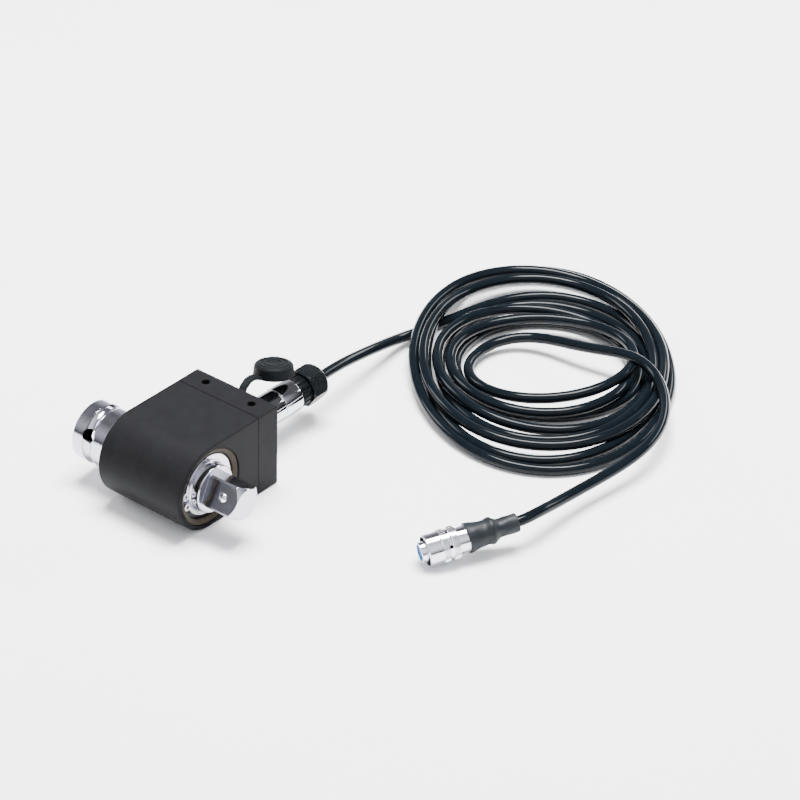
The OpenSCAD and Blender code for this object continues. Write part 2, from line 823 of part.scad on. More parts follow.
module board_spacers() {
    color("#c8a860") for (p = spacer_places) difference() {
        rod_y([p[0], axis_z + p[1]], board_y1, seam_y, spacer_d / 2);
        rod_y([p[0], axis_z + p[1]], board_y1 - past, seam_y + past, board_screw_d / 2 + press_gap);
    }
}

module board_screws() {
    color("#b0b0b4") for (p = spacer_places) {
        place = [p[0], axis_z + p[1]];
        rod_y(place, board_y0, seam_y + board_screw_bite, board_screw_d / 2);
        rod_y(place, board_y0 - board_screw_head_h, board_y0, board_screw_head_d / 2);
    }
}

// Nickel-plated socket screwed into the rear block, with the cap's strap ring under its flange
module panel_socket() {
    y0 = rear_y + strap_ring_t;
    y1 = y0 + flange_t;
    b = turned_bevel;
    color("#c4c6cb") turned_y([
        [socket_inner_r, seam_y], [socket_r, seam_y], [socket_r, y0],
        [flange_r - b, y0], [flange_r, y0 + b],
        [flange_r, y1 - b], [flange_r - b, y1], [thread_r, y1], [thread_r, socket_end_y - b],
        [thread_r - b, socket_end_y], [socket_mouth_r, socket_end_y], [socket_mouth_r, insert_face_y],
        [socket_inner_r, insert_face_y]
    ]);
}

// Places a copy of a shape on each contact's axis
module at_contacts() {
    for (p = contact_places) translate([p[0], 0, p[1]]) children();
}

module socket_insert() {
    color("#1b1b1d") difference() {
        rod_y([0, socket_z], seam_y + insert_back, insert_face_y, socket_inner_r - press_gap);
        at_contacts() rod_y([0, socket_z], seam_y, insert_face_y + past, pin_r + press_gap);
    }
}

module socket_pins() {
    color("#d8b65a") at_contacts() rod_y([0, socket_z], board_y0, socket_end_y - pin_short, pin_r);
}

// Rubber dust cap, moulded in one piece with its strap and the ring under the socket's flange
module dust_cap() {
    color("#232527") {
        turned_y([
            [socket_r + press_gap, rear_y], [strap_ring_r, rear_y],
            [strap_ring_r, rear_y + strap_ring_t], [socket_r + press_gap, rear_y + strap_ring_t]
        ]);
        translate([0, rear_y, socket_z]) {
            strap();
            translate(cap_place) rotate([-cap_tilt, 0, cap_turn]) cap();
        }
    }
}

// Strap that arches from the ring up to the cap
module strap() {
    w = strap_w / 2;
    t = strap_t / 2;
    section = [[t, -w], [t, w], [-t, w], [-t, -w]];
    skin([for (i = [0:len(strap_route) - 1]) outline_at(strap_route, i, [1, 0, 0], section)]);
}

// Cup-shaped cap with its top at z = 0, ridged on top and with a pull tab at the far side
module cap() {
    r = cap_d / 2;
    difference() {
        union() {
            rotate_extrude() polygon([
                [0, -cap_h], [r - cap_lip, -cap_h], [r, -cap_h + cap_lip], [r - cap_flare, -cap_round],
                [r - cap_flare - cap_round, 0], [0, 0]
            ]);
            translate([-tab_w / 2, r - cap_flare - tab_sink, -tab_sink]) cube([tab_w, tab_t, tab_t]);
        }
        translate([0, 0, -cap_h - past]) cylinder(h = cap_h - cap_top_t + past, r = r - cap_wall);
    }
    for (ridge = cap_ridge_r) rotate_extrude()
        translate([ridge, -cap_ridge_h]) square([cap_ridge_w, 2 * cap_ridge_h]);
}

// Chrome ring that screws the plug onto the socket and turns freely on the plug's nose
module coupling_ring() {
    r = coupling_d / 2;
    b = rim_bevel;
    thread = thread_r + running_gap;
    hub = nose_r + contact_play;
    color("#cfd1d6") turned_y([
        [thread + turned_bevel, coupling_y0], [r - b, coupling_y0], [r, coupling_y0 + b],
        [r, coupling_y1 - b], [r - b, coupling_y1], [hub, coupling_y1],
        [hub, coupling_wall_y], [thread, coupling_wall_y],
        [thread, coupling_y0 + turned_bevel]
    ]);
}

// Chrome barrel of the plug: its nose goes into the socket and holds the coupling ring captive
module plug_barrel() {
    r = coupling_d / 2;
    b = rim_bevel;
    tip_b = turned_bevel;
    stop_y = coupling_wall_y - coupling_gap;
    spigot = gland_thread_r + press_gap;
    color("#cfd1d6") turned_y([
        [nose_bore_r, nose_tip_y], [nose_tip_r - tip_b, nose_tip_y], [nose_tip_r, nose_tip_y + tip_b],
        [nose_tip_r, nose_step_y], [nose_r, nose_step_y], [nose_r, stop_y - collar_t],
        [collar_r, stop_y - collar_t], [collar_r, stop_y], [nose_r, stop_y],
        [nose_r, barrel_y0], [r - b, barrel_y0], [r, barrel_y0 + b],
        [r, barrel_y1 - b], [r - b, barrel_y1], [spigot, barrel_y1], [spigot, barrel_floor_y],
        [nose_bore_r, barrel_floor_y]
    ]);
}

module plug_insert() {
    color("#1b1b1d") difference() {
        rod_y([0, socket_z], nose_tip_y + turned_bevel, barrel_floor_y, nose_bore_r - press_gap);
        at_contacts() rod_y([0, socket_z], nose_tip_y, barrel_floor_y + past, contact_r + press_gap);
    }
}

module plug_contacts() {
    color("#d8b65a") at_contacts() difference() {
        rod_y([0, socket_z], nose_tip_y + rim_bevel, barrel_floor_y + contact_tail, contact_r);
        rod_y([0, socket_z], nose_tip_y, socket_end_y, pin_r + contact_play);
    }
}

// Black nylon back shell, ribbed where it shows and threaded for the gland nut
module plug_backshell() {
    bore = gland_cup_r - gland_step;
    cup_y = ribbed_y1 + gland_floor;
    end_y = ribbed_y1 + gland_thread_l;
    color("#17181a") union() {
        turned_y([
            [bore, barrel_y1 - spigot_l], [gland_thread_r, barrel_y1 - spigot_l],
            [gland_thread_r, barrel_y1], [rib_root_r, barrel_y1],
            [rib_root_r, ribbed_y1], [gland_thread_r, ribbed_y1],
            [gland_thread_r, end_y], [gland_cup_r, end_y], [gland_cup_r, cup_y], [bore, cup_y]
        ]);
        for (k = [0:rib_count - 1]) translate([0, 0, socket_z]) rotate([0, 360 * k / rib_count, 0])
            translate([rib_root_r - rib_end, barrel_y1 + rib_end, -rib_w / 2])
                cube([rib_r - rib_root_r + rib_end, ribbed_l - 2 * rib_end, rib_w]);
    }
}

// Domed hexagon gland nut
module gland_nut() {
    c = nut_corner_r;
    thread_end = ribbed_y1 + gland_thread_l + gland_play;
    color("#1a1b1d") difference() {
        intersection() {
            translate([0, nut_y0, socket_z]) rotate([-90, 0, 0]) rotate(nut_turn)
                cylinder(h = nut_l, r = c, $fn = 6);
            turned_y(concat(
                [[0, nut_y0], [c - nut_bevel, nut_y0], [c, nut_y0 + nut_bevel], [c, nut_y1 - nut_crown_h]],
                [for (p = nut_crown) [c - p[0], nut_y1 - p[1]]],
                [[0, nut_y1]]
            ));
        }
        rod_y([0, socket_z], nut_y0 - past, thread_end, gland_thread_r + press_gap);
        rod_y([0, socket_z], nut_y0, nut_y1 + past, cable_hole_r);
    }
}

// Rubber ring that the gland nut squeezes onto the cable
module gland_seal() {
    bore = cable_r + grip_gap;
    cup = gland_cup_r - press_gap;
    y0 = ribbed_y1 + gland_floor + gland_play;
    y1 = ribbed_y1 + gland_thread_l - gland_play;
    color("#2c2c2c") turned_y([[bore, y0], [cup, y0], [cup, y1], [bore, y1]]);
}

module cable_lead() { color("#15181b") tube(lead_route, cable_r); }
module cable_tail() { color("#15181b") tube(tail_route, cable_r); }

// Loose oval coil that lies on the table, as the space its turns fill
module cable_coil() {
    function size_at(f, inner, outer) = (inner + f * (outer - inner)) / 2;
    function spot(t, f) =
        [size_at(f, coil_hole_w, coil_w) * cos(t), size_at(f, coil_hole_l, coil_l) * sin(t)];
    sections = [for (k = [0:coil_sections - 1])
        let (t = 360 * k / coil_sections) [for (p = coil_outline) [each spot(t, p[0]), p[1] * coil_h]]];
    color("#15181b") translate([coil_x, coil_y, 0]) rotate(coil_turn) skin(sections, true);
}

// Heat-shrink sleeve over the back of the cable plug, with a bulge where the strain relief ends
module shrink_sleeve() {
    b = plug_body_r + press_gap;
    rim = b + shrink_lap;
    l = shrink_l;
    color("#3a3f42") turned_plug([
        [plug_entry_r, 0], [shrink_rear_r - shrink_lip, 0], [shrink_rear_r, shrink_lip],
        [shrink_waist_r, 0.38 * l], [(shrink_waist_r + shrink_bulge_r) / 2, 0.45 * l],
        [shrink_bulge_r - shrink_lip / 2, 0.49 * l], [shrink_bulge_r, 0.515 * l],
        [shrink_bulge_r - shrink_lip / 2, 0.55 * l], [shrink_neck_r, 0.64 * l],
        [(2 * shrink_neck_r + rim) / 3, 0.8 * l], [rim, l - shrink_lip],
        [rim - shrink_lip, l], [b, l], [b, plug_rear], [plug_entry_r, plug_rear]
    ]);
}

// Fixed body of the cable plug, with the contact tube at its front
module end_plug_body() {
    front = plug_rear + plug_body_l;
    t = nose_tube_d / 2;
    bore = end_insert_r + press_gap;
    floor_at = end_insert_rear - press_gap;
    color("#cfd1d6") turned_plug([
        [plug_entry_r, plug_rear], [plug_body_r, plug_rear], [plug_body_r, front], [t, front],
        [t, nose_tube_l - nose_tube_bevel], [t - nose_tube_bevel, nose_tube_l], [bore, nose_tube_l],
        [bore, floor_at], [plug_entry_r, floor_at]
    ]);
}

// Outer sleeve that is pulled back to let the plug go, with two gripping bands
module release_sleeve() {
    r = release_r;
    low = r - band_depth;
    inner = plug_body_r + running_gap;
    a = release_rear + band_depth;
    b = a + band_l;
    c = b + band_gap;
    d = c + band_l;
    color("#d4d6da") turned_plug([
        [inner, release_rear], [low, release_rear], [r, a], [r, b], [low, b + band_slope], [low, c],
        [r, c + band_slope], [r, d], [low, d + band_slope], [low, release_front - band_depth],
        [low - band_depth, release_front], [release_mouth_r, release_front],
        [release_mouth_r, release_mouth_at], [inner, release_mouth_at]
    ]);
}

// Places a copy of a shape on each contact's axis of the cable plug
module at_end_contacts() {
    on_plug() for (k = [0:end_contact_count - 1]) rotate(360 * k / end_contact_count)
        translate([end_contact_ring_r, 0, 0]) children();
}

module end_insert() {
    face = nose_tube_l - insert_sink;
    color("#2d87c0") difference() {
        turned_plug([
            [0, end_insert_rear], [end_insert_r, end_insert_rear], [end_insert_r, face], [0, face]
        ]);
        at_end_contacts() translate([0, 0, face - end_contact_l])
            cylinder(h = end_contact_l + past, r = end_contact_r + press_gap);
    }
}

module end_contacts() {
    face = nose_tube_l - insert_sink - end_contact_sink;
    color("#d8b65a") at_end_contacts() difference() {
        translate([0, 0, face + end_contact_sink - end_contact_l])
            cylinder(h = end_contact_l - end_contact_sink, r = end_contact_r);
        translate([0, 0, face - end_contact_bore_l])
            cylinder(h = end_contact_bore_l + past, r = end_contact_hole_r);
    }
}

main_housing();
rear_block();
rear_screws();
torque_shaft();
detent_ball();
detent_spring();
front_circlip();
front_seal_ring();
rear_seal_ring();
front_outer_ring();
front_inner_ring();
front_balls();
front_cage();
front_shield();
rear_outer_ring();
rear_inner_ring();
rear_balls();
rear_cage();
rear_shield();
slip_ring_hub();
slip_rings();
strain_gauges();
brush_block();
brushes();
circuit_board();
board_spacers();
board_screws();
panel_socket();
socket_insert();
socket_pins();
dust_cap();
coupling_ring();
plug_barrel();
plug_insert();
plug_contacts();
plug_backshell();
gland_nut();
gland_seal();
cable_lead();
cable_coil();
cable_tail();
shrink_sleeve();
end_plug_body();
release_sleeve();
end_insert();
end_contacts();
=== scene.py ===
"""Looks of a rotary torque sensor and its cable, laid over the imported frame."""
import math

import bmesh
import bpy
import numpy as np
from mathutils import Matrix, Vector


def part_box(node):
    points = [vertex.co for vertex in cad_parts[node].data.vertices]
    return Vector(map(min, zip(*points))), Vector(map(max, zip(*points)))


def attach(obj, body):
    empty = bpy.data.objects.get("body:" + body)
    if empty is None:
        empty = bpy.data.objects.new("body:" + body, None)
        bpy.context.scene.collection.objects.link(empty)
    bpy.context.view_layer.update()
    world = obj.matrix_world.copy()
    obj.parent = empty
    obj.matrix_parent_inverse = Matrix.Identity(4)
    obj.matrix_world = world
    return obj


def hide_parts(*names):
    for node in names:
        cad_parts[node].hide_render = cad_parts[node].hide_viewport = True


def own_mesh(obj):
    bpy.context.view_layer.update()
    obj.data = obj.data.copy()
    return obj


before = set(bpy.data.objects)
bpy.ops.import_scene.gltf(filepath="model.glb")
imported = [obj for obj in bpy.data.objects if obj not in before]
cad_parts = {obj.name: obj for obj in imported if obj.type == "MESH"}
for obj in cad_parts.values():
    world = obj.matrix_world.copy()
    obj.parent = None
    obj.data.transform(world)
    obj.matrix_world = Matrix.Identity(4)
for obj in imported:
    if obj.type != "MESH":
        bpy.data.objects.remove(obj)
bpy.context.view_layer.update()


# Camera: a long studio lens, above and in front of the male square's end of the housing.
# Its direction and distance were found from the corners of the housing.
def placed(name, data):
    """Object made of its data and put in the scene."""
    made = bpy.data.objects.new(name, data)
    bpy.context.scene.collection.objects.link(made)
    return made


azimuth, elevation, roll = math.radians(38.439), math.radians(32.791), math.radians(1.525)
lens_mm, stand = 157.5, (0.77070, -0.82867, 0.77854)
back = Vector((
    math.sin(azimuth) * math.cos(elevation), -math.cos(azimuth) * math.cos(elevation), math.sin(elevation)))
level = Vector((math.cos(azimuth), math.sin(azimuth), 0))
upright = back.cross(level)
across = level * math.cos(roll) + upright * math.sin(roll)
upward = upright * math.cos(roll) - level * math.sin(roll)
camera = placed("studio_camera", bpy.data.cameras.new("studio_camera"))
camera.data.lens = lens_mm
camera.matrix_world = Matrix.Translation(stand) @ Matrix((across, upward, back)).transposed().to_4x4()
bpy.context.scene.camera = camera


# Cable: round PVC sheath, extruded, 4.5 mm thick, stiff enough to spring into wide turns. It runs from
# the gland to the table, makes eight loose turns of an oval coil there, and its end climbs out over the
# coil's right side to the plug. The smooth sheath is near black, with thin bright lines along its top.
def colour(code):
    """Linear colour of an sRGB hex code."""
    parts = [int(code[i:i + 2], 16) / 255 for i in (1, 3, 5)]
    return tuple(p / 12.92 if p <= 0.04045 else ((p + 0.055) / 1.055) ** 2.4 for p in parts) + (1.0,)


def add(tree, kind, inputs=(), **settings):
    """Adds a node to a tree, with its settings, and with a value or a link on each input named."""
    made = tree.nodes.new(kind)
    for name, value in settings.items():
        setattr(made, name, value)
    for name, value in dict(inputs).items():
        if isinstance(value, bpy.types.NodeSocket):
            tree.links.new(value, made.inputs[name])
        else:
            made.inputs[name].default_value = value
    return made


def computed(tree, operation, *values):
    """Result of a sum on values or sockets."""
    return add(tree, "ShaderNodeMath", dict(enumerate(values)), operation=operation).outputs[0]


def ramped(tree, value, span, result):
    """Value carried from one span to another, and held at the ends."""
    return add(tree, "ShaderNodeMapRange", {
        "Value": value, "From Min": span[0], "From Max": span[1],
        "To Min": result[0], "To Max": result[1]}).outputs[0]


def mixed(tree, share, first, second):
    """Colour between two, each of them a hex code or a socket."""
    made = add(tree, "ShaderNodeMix", {"Factor": share}, data_type="RGBA")
    for socket, value in zip([s for s in made.inputs if s.type == "RGBA"], (first, second)):
        if isinstance(value, str):
            socket.default_value = colour(value)
        else:
            tree.links.new(value, socket)
    return [s for s in made.outputs if s.type == "RGBA"][0]


def grained(name, light, dark, rough, grain, depth, stretch=(1, 1, 1), shader=(), edge=0.0):
    """Material whose tone, roughness and relief follow one grain, with grain, depth and edge in mm."""
    made = bpy.data.materials.new(name)
    made.use_nodes = True
    tree = made.node_tree
    tree.nodes.clear()
    place = add(tree, "ShaderNodeTexCoord").outputs["Object"]
    if stretch != (1, 1, 1):
        place = add(tree, "ShaderNodeMapping", {"Vector": place, "Scale": stretch}).outputs["Vector"]
    noises = [add(tree, "ShaderNodeTexNoise", {"Vector": place, "Scale": scale / grain, "Detail": detail})
              for scale, detail in ((1000, 3.0), (60, 2.0))]
    fine, broad = (noise.outputs["Fac"] for noise in noises)
    blend, spread = computed(tree, "MULTIPLY", fine, broad), (0.1, 0.45)
    relief = add(tree, "ShaderNodeBump", {"Strength": 1.0, "Distance": depth / 1000, "Height": fine})
    if edge:
        round_edge = add(tree, "ShaderNodeBevel", {"Radius": edge / 1000}, samples=4)
        tree.links.new(round_edge.outputs[0], relief.inputs["Normal"])
    look = add(tree, "ShaderNodeBsdfPrincipled", {
        "Base Color": mixed(tree, ramped(tree, blend, spread, (0, 1)), dark, light),
        "Roughness": ramped(tree, blend, spread, rough), "Normal": relief.outputs[0], **dict(shader)})
    add(tree, "ShaderNodeOutputMaterial", {"Surface": look.outputs[0]})
    return made


def smoother(count, weight):
    """Matrix that eases a row of points as a bent rod of this stiffness would."""
    bend = np.diff(np.eye(count), 2, axis=0)
    return np.linalg.inv(np.eye(count) + bend.T @ (np.broadcast_to(weight, count - 2)[:, None] * bend))


def settled(path, held, thick, rounds):
    """Lets a stiff cable's points fall and push each other apart until they lie on the table.
    A point is free at 0, held at 1, and at 2 held but only laid on the others near the end.
    Where two lengths cross, the later one is lifted over the earlier one."""
    rod_stiffness, drop, spring_back, alike = 60.0, 0.15, 0.95, 0.95
    falls_until, tail_waits_until = 0.9 * rounds, 0.6 * rounds
    search_every, search_margin, skipped_neighbours, pushes, lift_margin = 8, 4, 6, 5, 2
    start, p = path.copy(), path.copy()
    stiff = smoother(len(p), rod_stiffness)
    fixed = held > 0
    for step in range(rounds):
        if step < falls_until:
            p[~fixed, 2] -= drop
        p[:, 2] = stiff @ p[:, 2]
        p[:, :2] = start[:, :2] + spring_back * (stiff @ (p[:, :2] - start[:, :2]))
        p[fixed] = start[fixed]
        if step % search_every == 0:
            reach = (thick + search_margin) ** 2
            near = np.triu(((p[:, None] - p[None]) ** 2).sum(2) < reach, skipped_neighbours)
            if step < tail_waits_until:
                near &= (held < 2)[:, None] & (held < 2)[None]
            one, other = np.nonzero(near)
            run = np.gradient(p, axis=0)
            run /= np.linalg.norm(run, axis=1)[:, None]
            crossing = np.abs((run[one] * run[other]).sum(1)) < alike
        for _ in range(pushes):
            gap = p[one] - p[other]
            far = np.sqrt((gap ** 2).sum(1)) + 1e-9
            over = np.maximum(thick - far, 0)
            push = gap * (over / far)[:, None]
            lift = np.sqrt(np.maximum(thick ** 2 - (gap[:, :2] ** 2).sum(1), 0)) + gap[:, 2]
            over[crossing] = np.maximum(lift, 0)[crossing] * (far < thick + lift_margin)[crossing]
            push[crossing] = over[crossing, None] * (0, 0, -1)
            total, count = np.zeros_like(p), np.zeros(len(p))
            for side, sign in ((one, 1), (other, -1)):
                np.add.at(total, side, sign * push)
                np.add.at(count, side, over > 0)
            p += 0.5 * total / np.maximum(count, 1)[:, None]
            p[:, 2] = np.maximum(p[:, 2], thick / 2)
            p[fixed] = start[fixed]
    return p


def resampled(points, step):
    """Points at an even step along a route."""
    points = np.array(points, float)
    run = np.concatenate([[0], np.cumsum(np.linalg.norm(np.diff(points, axis=0), axis=1))])
    at = np.linspace(0, run[-1], max(2, round(run[-1] / step)) + 1)
    return np.stack([np.interp(at, run, points[:, k]) for k in range(3)], axis=1)


cable_d = 4.5
lead_route = [
    (0, 79.25, 16.5), (0, 90.25, 16.5), (-2.2, 106.1, 14.6), (-2.6, 116.3, 12.7), (-3.3, 125.4, 10.9),
    (-4.3, 134.8, 8.8), (-5.6, 144.8, 6.4), (-6.4, 154.3, 3.8), (-6, 161.6, 2.4), (-3.8, 167, 2.3)]
# The end's first stretch comes off the coil, the rest lies over the coil and runs to the plug.
rising_route = [
    (38, 186.6, 4.5), (45.6, 186.4, 5), (53.8, 185.9, 5.6), (61, 186.1, 6.6), (68.7, 188.6, 8),
    (74.8, 191, 9.4), (80.6, 192.8, 11.2), (86.3, 192.5, 11.8), (93.7, 190, 11.7)]
tail_route = [
    (101.4, 184.8, 11.2), (108.2, 178.3, 11.2), (114.7, 170.1, 11.2), (119.8, 161.7, 11.2),
    (123.3, 153.9, 11.2), (125.1, 145.3, 11.2), (125.9, 131.5, 10.2), (123.8, 121.5, 9.2),
    (122.2, 111.2, 8.7), (121.4, 100, 8.9), (121.2, 88.6, 9.9), (121.4, 78.4, 11.5), (121.1, 71.6, 12.1),
    (119.3, 66.4, 11.58), (117.57, 63.45, 11.1), (115.84, 60.51, 10.62)]
back_lanes = (30.5, 37, 44, 51.5, 59.5, 67.5, 74, 80.5)
right_lanes = (39.5, 41, 43, 45, 47, 48.5, 50, 52)
front_lanes = (31, 37, 43, 50.5, 57, 64, 71, 77.5)
left_lanes = (33.5, 36.5, 39, 41.5, 44.5, 47.5, 50.5, 53)
# The lane that each turn takes at the back, right, front and left of the coil.
turns = [
    (4, 5, 6, 5), (7, 7, 7, 7), (6, 6, 5, 6), (5, 4, 4, 3),
    (3, 3, 3, 4), (2, 2, 1, 1), (1, 0, 2, 2), (0, 1, 0, 0)]
coil_x, coil_y, skew = 50.5, 173, math.radians(38.4)
first_angle, last_angle, angle_step = 136.0, 158.0, 5.3
first_z, rise, lead_in = 2.4, 5.0, (180, 38)
angles = np.arange(first_angle, last_angle - 360 * len(turns), -angle_step)
deep = [(90 - 360 * k, back_lanes[t[0]]) for k, t in enumerate(turns)]
deep += [(-90 - 360 * k, front_lanes[t[2]]) for k, t in enumerate(turns)]
wide = [lead_in] + [(-360 * k, right_lanes[t[1]]) for k, t in enumerate(turns)]
wide += [(-180 - 360 * k, left_lanes[t[3]]) for k, t in enumerate(turns)]
deep_at, wide_at = (
    np.interp(-angles, *zip(*sorted((-a, r) for a, r in lanes))) for lanes in (deep, wide))
right_of = wide_at * np.cos(np.radians(angles))
back_of = deep_at * np.sin(np.radians(angles))
coil = np.stack([
    coil_x + right_of * math.cos(skew) - back_of * math.sin(skew),
    coil_y + right_of * math.sin(skew) + back_of * math.cos(skew),
    first_z + rise * (first_angle - angles) / 360], axis=1)
spacing = 4.4
lead, tail = resampled(lead_route, spacing), resampled(tail_route, spacing)
lift = coil[-1, 2] - rising_route[0][2]
rising = [(x, y, z + lift * (1 - k / len(rising_route)) ** 2) for k, (x, y, z) in enumerate(rising_route)]
middle = resampled(np.concatenate([lead[-1:], coil, rising, tail[:1]]), spacing)[1:-1]
path = np.concatenate([lead, middle, tail])
held = np.zeros(len(path), int)
held[:len(lead)] = 1
held[-len(tail):] = 2
# The coil is eased most, and the points at the gland and the plug stay exactly where they are.
coil_ease, lead_ease, tail_ease, last_ease = 150.0, 6.0, 15.0, 4.0
lead_count, tail_count, in_gland, in_plug = 20, 50, 4, 5
clearance, table_gap, rounds = 0.2, 0.02, 520
ease = np.full(len(path) - 2, coil_ease)
ease[:lead_count] = lead_ease
ease[-tail_count:] = tail_ease
eased = smoother(len(path), ease) @ path
eased[:in_gland], eased[-in_plug:] = path[:in_gland], path[-in_plug:]
laid = settled(eased, held, cable_d + clearance, rounds)
path = smoother(len(laid), last_ease) @ laid
path[:in_gland], path[-in_plug:] = laid[:in_gland], laid[-in_plug:]
path[:, 2] = np.maximum(path[:, 2], cable_d / 2 + table_gap)
sheath = grained(
    "cable_sheath", "#0c1217", "#090e12", (0.07, 0.11), 2.2, 0.003, shader={"Specular IOR Level": 0.12})
curve = bpy.data.curves.new("cable", "CURVE")
curve.dimensions = "3D"
curve.bevel_depth = cable_d / 2000
curve.bevel_resolution = 4
curve.resolution_u = 4
curve.use_fill_caps = True
spline = curve.splines.new("BEZIER")
knots = path[::2] if len(path) % 2 else np.concatenate([path[:-1:2], path[-1:]])
spline.bezier_points.add(len(knots) - 1)
for knot, at in zip(spline.bezier_points, knots / 1000):
    knot.co = at
    knot.handle_left_type = knot.handle_right_type = "AUTO"
curve.materials.append(sheath)
cable = placed("cable", curve)
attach(cable, "sensor")
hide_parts("cable_lead", "cable_coil", "cable_tail")

# Studio: a plain white table top, dull enough to take soft shadows, that runs on past the view. The
# room is dim and grey, with a white card behind the camera and a pale backdrop low behind the object.
# One soft box hangs overhead, with narrower ones behind and at the left.
table_half = 4
table = bmesh.new()
bmesh.ops.create_grid(table, x_segments=8, y_segments=8, size=table_half)
floor_mesh = bpy.data.meshes.new("table_top")
table.to_mesh(floor_mesh)
table.free()
floor_mesh.materials.append(grained("white_table", "#ffffff", "#fbfbfb", (0.8, 0.9), 4.0, 0.0))
floor = placed("table_top", floor_mesh)
for name, at, aim, size, power in (
        ("overhead_box", (-0.05, 0.3, 1.5), (0.05, 0.1, 0), (1.0, 0.6), 115),
        ("back_strip", (0.3, 1.6, 0.8), (0.05, 0.15, 0), (1.4, 0.25), 14),
        ("left_box", (-1.4, -0.2, 0.8), (0, 0, 0), (0.5, 0.8), 12)):
    lamp = bpy.data.lights.new(name, "AREA")
    lamp.shape = "RECTANGLE"
    lamp.size, lamp.size_y = size
    lamp.energy = power
    light = placed(name, lamp)
    light.location = at
    light.rotation_euler = (Vector(aim) - Vector(at)).to_track_quat("-Z", "Y").to_euler()
world = bpy.data.worlds.new("grey_room")
world.use_nodes = True
room = world.node_tree
room.nodes.clear()
card_side = (0.62, -0.78, 0)
sky = add(room, "ShaderNodeTexCoord").outputs["Generated"]
height = add(room, "ShaderNodeSeparateXYZ", {0: sky}).outputs["Z"]
nearness = add(room, "ShaderNodeVectorMath", {0: sky, 1: card_side}, operation="DOT_PRODUCT").outputs["Value"]
dim = ramped(room, height, (0.07, 0.5), (0.03, 1.0))
card = ramped(room, nearness, (-0.2, 0.6), (0.14, 1.75))
behind = ramped(room, nearness, (-0.95, -0.6), (0.9, 0.0))
low = ramped(room, height, (0.2, 0.65), (1.0, 0.0))
strength = computed(room, "MULTIPLY_ADD", behind, low, computed(room, "MULTIPLY", dim, card))
glow = add(room, "ShaderNodeBackground", {"Color": colour("#f3f4f9"), "Strength": strength})
add(room, "ShaderNodeOutputWorld", {"Surface": glow.outputs[0]})
bpy.context.scene.world = world


# Housing: an aluminium profile with a round nose, bored from end to end, bead-blasted and then
# anodised black. It reads as soft dark grey where it faces the light.
def dress(made, *nodes):
    """Gives CAD nodes a finished material."""
    for node in nodes:
        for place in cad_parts[node].material_slots:
            place.material = made


anodised = grained("black_anodised_aluminium", "#1a1a1c", "#161618", (0.4, 0.48), 0.3, 0.004,
                   shader={"Specular IOR Level": 0.04}, edge=0.25)
dress(anodised, "main_housing")

# Rear block: a milled plate that closes the housing, with two tapped holes on top.
# It is of the same aluminium and finish, so only a thin seam line shows where it starts.
dress(anodised, "rear_block")

# Cap screws: black oxide steel, sunk into the back of the rear block, which they hold.
# The oxide has a dull metal sheen that parts them from the block.
dress(grained("black_oxide_steel", "#232323", "#151515", (0.32, 0.45), 0.5, 0.004,
              shader={"Metallic": 0.7}), "rear_screws")


# Shaft: steel, turned and milled in one piece, nickel plated to a satin shine. The turning tool's fine
# lines run round it and draw its lights out. Inside the cross hole the colour is painted near black, as painted
# shade.
def darkened(made, centre, line, radius, code):
    """Darkens a material within a radius of a point, or of a line through the point, in mm."""
    tree = made.node_tree
    place = add(tree, "ShaderNodeTexCoord").outputs["Object"]
    away = add(tree, "ShaderNodeVectorMath", {0: place, 1: [c / 1000 for c in centre]}, operation="SUBTRACT")
    if line:
        away = add(tree, "ShaderNodeVectorMath", {0: away.outputs[0], 1: line}, operation="CROSS_PRODUCT")
    far = add(tree, "ShaderNodeVectorMath", {0: away.outputs[0]}, operation="LENGTH").outputs["Value"]
    inside = computed(tree, "LESS_THAN", far, radius / 1000)
    base = next(node for node in tree.nodes if node.type == "BSDF_PRINCIPLED").inputs["Base Color"]
    tree.links.new(mixed(tree, inside, base.links[0].from_socket, code), base)
    return made


# Painted shade: the shaft's colour turns near black within a small radius of the cross hole's axis, in place of
# the shade inside the hole.
hole_at, hole_line, hole_shade_r = (-33.15, 0, 18), (0, -0.8988, 0.4384), 2.93
nickel = grained("nickel_steel", "#c9c9d4", "#bdbdc9", (0.13, 0.17), 0.25, 0.0002, stretch=(1, 0.05, 0.05),
                 shader={"Metallic": 1.0}, edge=0.2)
dress(darkened(nickel, hole_at, hole_line, hole_shade_r, "#161617"), "torque_shaft")


# Detent: a polished steel ball, bright as a mirror, pressed out of the square's flat by a small coil
# spring. The spring is wound from hard, dull grey steel wire, stands in the ball's hole and shortens
# as the ball goes in.
def frozen(source):
    """Mesh of an object with its bevel or modifiers worked out. The object itself is removed."""
    mesh = bpy.data.meshes.new_from_object(source.evaluated_get(bpy.context.evaluated_depsgraph_get()))
    bpy.data.objects.remove(source)
    return mesh


dress(grained("ball_steel", "#e4e4e8", "#d2d2d8", (0.06, 0.1), 1.0, 0.0005, shader={"Metallic": 1.0}),
      "detent_ball")
ball_low, ball_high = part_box("detent_ball")
shaft_z, flat_turn, half_square = 0.018, math.radians(64), 0.00635
detent_place = (
    Matrix.Translation(((ball_low[0] + ball_high[0]) / 2, 0, shaft_z))
    @ Matrix.Rotation(flat_turn, 4, "X") @ Matrix.Translation((0, 0, half_square)))
wire_d, spring_r, spring_foot, spring_top = 0.5, 1.65, -8.7, -3.17
spring_turns, turn_points = 4, 12
wire = bpy.data.curves.new("spring_wire", "CURVE")
wire.dimensions = "3D"
wire.bevel_depth = wire_d / 2000
wire.bevel_resolution = 1
wire.use_fill_caps = True
helix = wire.splines.new("POLY")
helix.points.add(spring_turns * turn_points)
for k, point in enumerate(helix.points):
    angle = 2 * math.pi * k / turn_points
    climb = spring_foot + (spring_top - spring_foot) * k / (spring_turns * turn_points)
    spot = Vector((spring_r * math.cos(angle), spring_r * math.sin(angle), climb)) / 1000
    point.co = (*(detent_place @ spot), 1)
spring_mesh = frozen(placed("spring_wire", wire))
spring_mesh.materials.clear()
